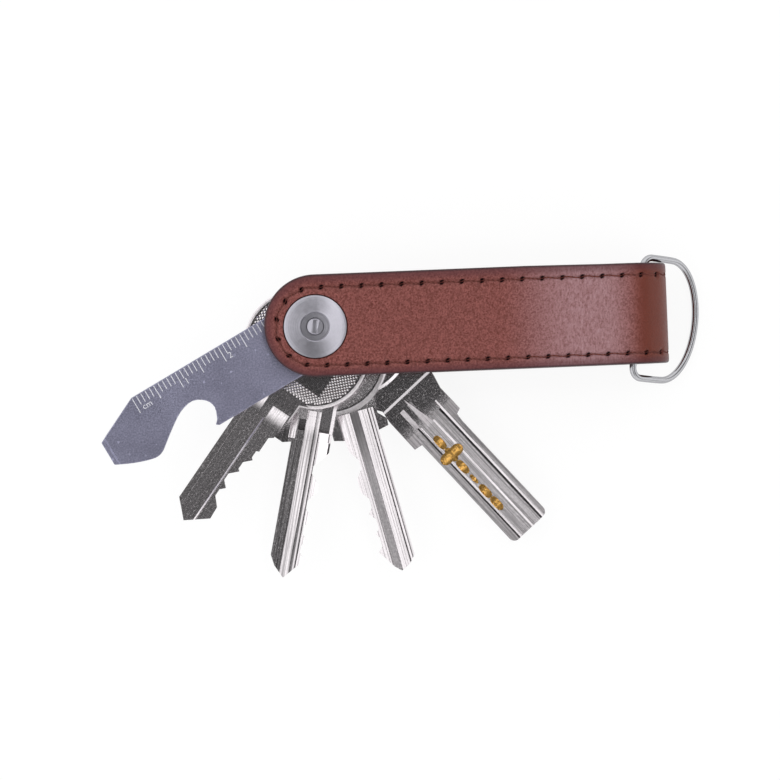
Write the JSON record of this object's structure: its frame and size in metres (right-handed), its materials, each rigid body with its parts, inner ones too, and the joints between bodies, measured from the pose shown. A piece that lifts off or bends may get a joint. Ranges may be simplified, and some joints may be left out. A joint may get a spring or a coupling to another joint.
{
  "type": "key organiser",
  "caption": "Folded leather strap that holds keys and a flat multi-tool on a pivot bolt, with a wire D-ring loose in the fold.",
  "frame": {"origin": "on the pivot axis, on the flat head of the bolt at the back of the strap", "axes": "+X from the pivot along the strap to the fold, +Y across the strap away from the fanned keys, +Z out of the front of the strap"},
  "size_m": [0.1211, 0.0618, 0.0187],
  "materials": {
    "saddle_leather": "waxed reddish-brown saddle leather with fine grain",
    "lining_leather": "plain dark brown lining leather",
    "thread": "dark brown waxed thread",
    "turned_steel": "steel with concentric turning marks",
    "washer": "black nylon",
    "tool_steel": "satin grey stainless steel",
    "nickel_plate": "worn nickel plate",
    "bright_nickel": "bright nickel plate with brass showing in the drilled pits",
    "ring_wire": "polished round steel wire"
  },
  "bodies": {
    "case": {"strap_outer": "saddle_leather", "strap_lining": "lining_leather", "needle_thread": "thread", "bobbin_thread": "thread", "pivot_bolt": "turned_steel", "front_disc": "turned_steel", "spacer_washer_1": "washer", "spacer_washer_2": "washer", "spacer_washer_3": "washer", "spacer_washer_4": "washer", "spacer_washer_5": "washer", "spacer_washer_6": "washer"},
    "tool": {"multi_tool": "tool_steel"},
    "first_key": {"key_a": "nickel_plate"},
    "second_key": {"key_b": "nickel_plate"},
    "third_key": {"key_c": "nickel_plate"},
    "dimple_key": {"key_d": "bright_nickel"},
    "ring": {"d_ring": "ring_wire"}
  },
  "joints": [
    {"name": "tool_swing", "type": "hinge", "parent": "case", "child": "tool", "pos_m": [0, 0, 0.01425], "axis": [0, 0, 1], "range_deg": [-208.6, 151.4]},
    {"name": "first_key_swing", "type": "hinge", "parent": "case", "child": "first_key", "pos_m": [0, 0, 0.012], "axis": [0, 0, 1], "range_deg": [-234.4, 125.6]},
    {"name": "second_key_swing", "type": "hinge", "parent": "case", "child": "second_key", "pos_m": [0, 0, 0.0095], "axis": [0, 0, 1], "range_deg": [-260.5, 99.5]},
    {"name": "third_key_swing", "type": "hinge", "parent": "case", "child": "third_key", "pos_m": [0, 0, 0.007], "axis": [0, 0, 1], "range_deg": [-287, 73]},
    {"name": "dimple_key_swing", "type": "hinge", "parent": "case", "child": "dimple_key", "pos_m": [0, 0, 0.0043], "axis": [0, 0, 1], "range_deg": [-314.8, 45.2]},
    {"name": "ring_swing", "type": "hinge", "parent": "case", "child": "ring", "pos_m": [0.0645, -0.0005, 0.00905], "axis": [-0.1374, -0.9905, 0], "range_deg": [-70, 135]}
  ]
}
